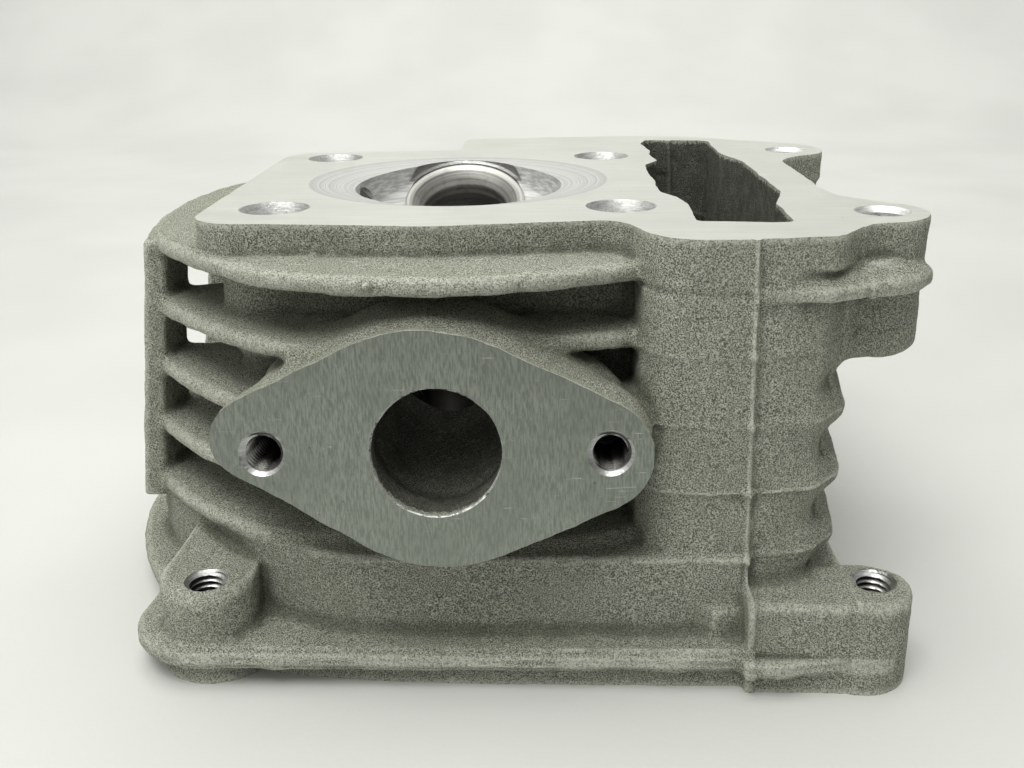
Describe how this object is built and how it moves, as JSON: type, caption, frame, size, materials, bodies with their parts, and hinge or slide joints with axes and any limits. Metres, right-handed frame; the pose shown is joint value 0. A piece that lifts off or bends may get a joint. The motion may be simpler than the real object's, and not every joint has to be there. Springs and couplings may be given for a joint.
{
  "type": "cylinder head",
  "caption": "Bare air-cooled overhead-cam cylinder head: finned light-alloy casting with deck, chamber, ports, chain tunnel and cam box, and pressed-in seats and guides.",
  "frame": {"origin": "centre of the rectangle of cylinder stud holes, on the deck face", "axes": "+Z out of the deck towards the cylinder, +X towards the cam-chain side, -Y towards the intake flange, +Y towards the exhaust flange"},
  "size_m": [0.1342, 0.1373, 0.067],
  "materials": {
    "cast_alloy": "fine shot-blasted casting with milled deck, flange faces and bores",
    "seat_steel": "turned and cut, with fine concentric tool marks",
    "guide_iron": "smooth ground",
    "spring_wire": "drawn wire",
    "stud_steel": "zinc plated, rolled thread"
  },
  "bodies": {
    "root": {"head_casting": "cast_alloy", "exhaust_valve_seat": "seat_steel", "intake_valve_seat": "seat_steel", "exhaust_valve_guide": "guide_iron", "intake_valve_guide": "guide_iron", "exhaust_guide_clip": "spring_wire", "intake_guide_clip": "spring_wire", "exhaust_stud_left": "stud_steel", "exhaust_stud_right": "stud_steel"}
  },
  "joints": []
}
